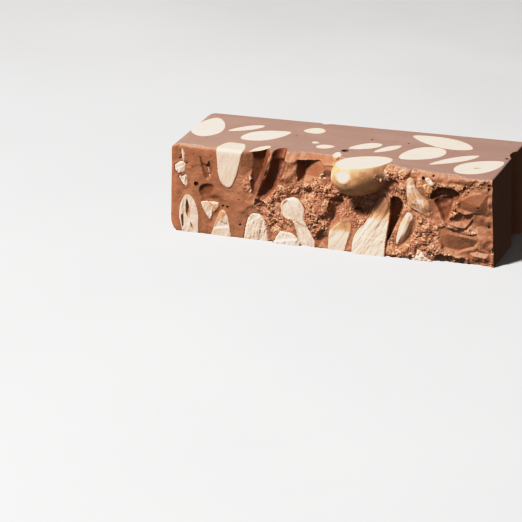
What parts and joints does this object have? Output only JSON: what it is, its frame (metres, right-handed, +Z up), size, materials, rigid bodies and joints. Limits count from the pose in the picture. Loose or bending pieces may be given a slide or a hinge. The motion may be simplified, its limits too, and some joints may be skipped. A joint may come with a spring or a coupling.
{
  "type": "almond chocolate block",
  "caption": "Thick block of milk chocolate set with whole almonds, sawn flat above and below and snapped along one long side, so cut and broken almonds show.",
  "frame": {"origin": "middle of the block's bounding box, at the height of its flat base", "axes": "+X to the right along the snapped long side, +Y from the snapped side to the moulded back, +Z up"},
  "size_m": [0.1211, 0.0508, 0.0332],
  "materials": {
    "milk_chocolate": "milk chocolate: greyish satin where sawn, smooth where moulded, crumbly where snapped",
    "cut_almond": "blanched almond, sawn or broken: pale cream, matt",
    "roast_almond": "the outside of a blanched, roasted almond: golden tan, satin"
  },
  "bodies": {
    "root": {"almond_base_01": "cut_almond", "almond_base_02": "cut_almond", "almond_base_03": "cut_almond", "almond_base_04": "cut_almond", "almond_base_05": "cut_almond", "almond_base_06": "cut_almond", "almond_base_07": "cut_almond", "almond_break_01": "cut_almond", "almond_break_02": "cut_almond", "almond_break_03": "cut_almond", "almond_break_04": "cut_almond", "almond_break_05": "cut_almond", "almond_break_06": "cut_almond", "almond_break_07": "cut_almond", "almond_break_08": "cut_almond", "almond_break_09": "cut_almond", "almond_break_10": "roast_almond", "almond_break_11": "roast_almond", "almond_break_12": "cut_almond", "almond_break_13": "cut_almond", "almond_edge_big": "roast_almond", "almond_edge_left": "cut_almond", "almond_top_01": "cut_almond", "almond_top_02": "cut_almond", "almond_top_03": "cut_almond", "almond_top_04": "cut_almond", "almond_top_05": "cut_almond", "almond_top_06": "cut_almond", "almond_top_07": "cut_almond", "almond_top_08": "cut_almond", "almond_top_09": "cut_almond", "almond_top_10": "cut_almond", "almond_top_11": "cut_almond", "almond_top_12": "cut_almond", "almond_top_13": "cut_almond", "chocolate": "milk_chocolate"}
  },
  "joints": []
}
